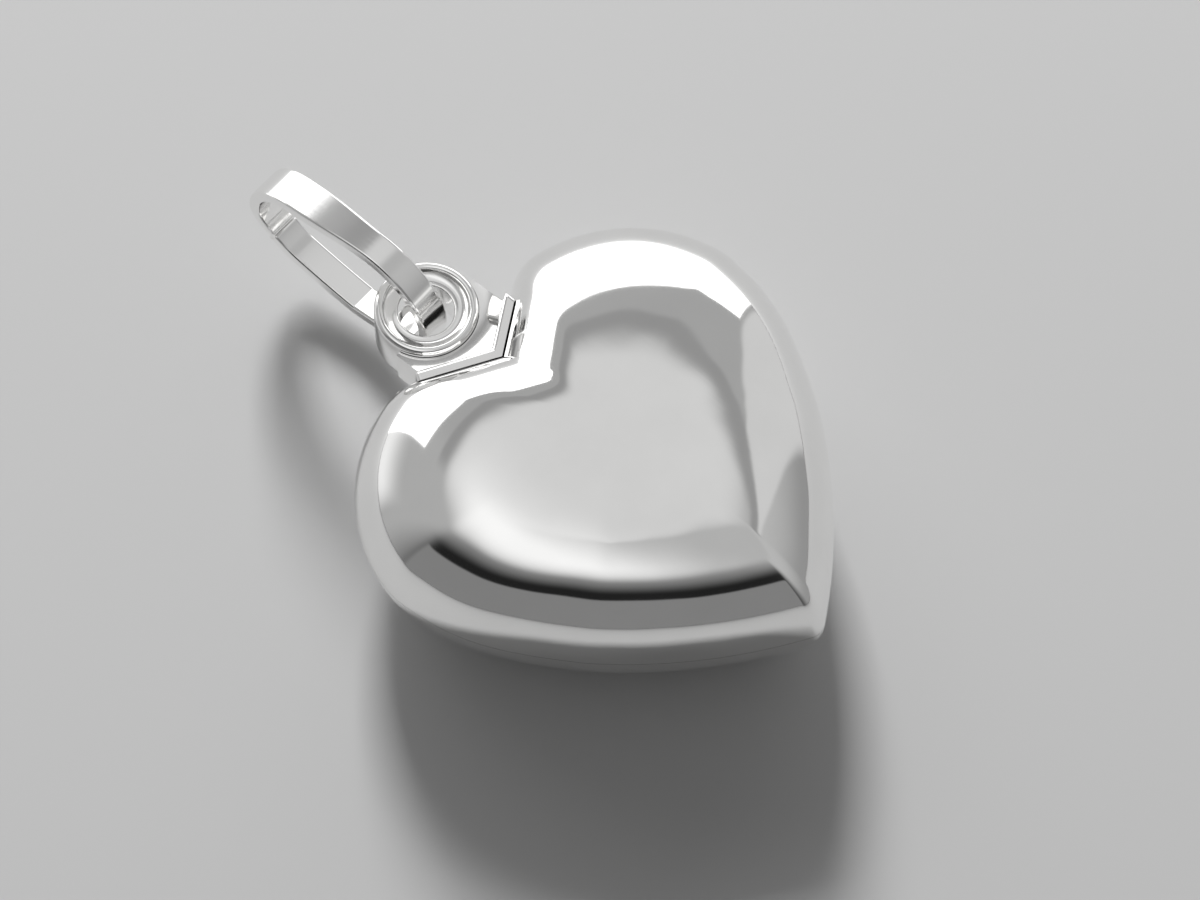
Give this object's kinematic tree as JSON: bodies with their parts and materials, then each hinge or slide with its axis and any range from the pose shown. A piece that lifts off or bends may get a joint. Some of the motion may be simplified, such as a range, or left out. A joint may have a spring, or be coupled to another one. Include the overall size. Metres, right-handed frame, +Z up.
{
  "type": "heart pendant",
  "caption": "Hollow puffed heart pendant in polished silver, with an eye ring in a V-shaped saddle and a swinging ribbon bail for a chain.",
  "frame": {"origin": "on the table, below the middle of the pendant's box", "axes": "+X across the heart, +Y from the heart's tip to the bail, +Z up out of the front; the pendant lies on the flat crown of its back"},
  "size_m": [0.016, 0.0238, 0.0066],
  "materials": {
    "polished_silver": "mirror polished",
    "bright_silver": "bright polished",
    "silver_solder": "satin"
  },
  "bodies": {
    "heart": {"front_shell": "polished_silver", "back_shell": "polished_silver", "seam_solder": "silver_solder", "saddle": "bright_silver", "saddle_solder_left": "silver_solder", "saddle_solder_right": "silver_solder", "eye_ring": "bright_silver"},
    "bail": {"bail": "bright_silver", "bail_solder": "silver_solder"}
  },
  "joints": [
    {"name": "bail_swing", "type": "hinge", "parent": "heart", "child": "bail", "pos_m": [0, 0.0067, 0.0033], "axis": [1, 0, 0], "range_deg": [-95, 100]}
  ]
}
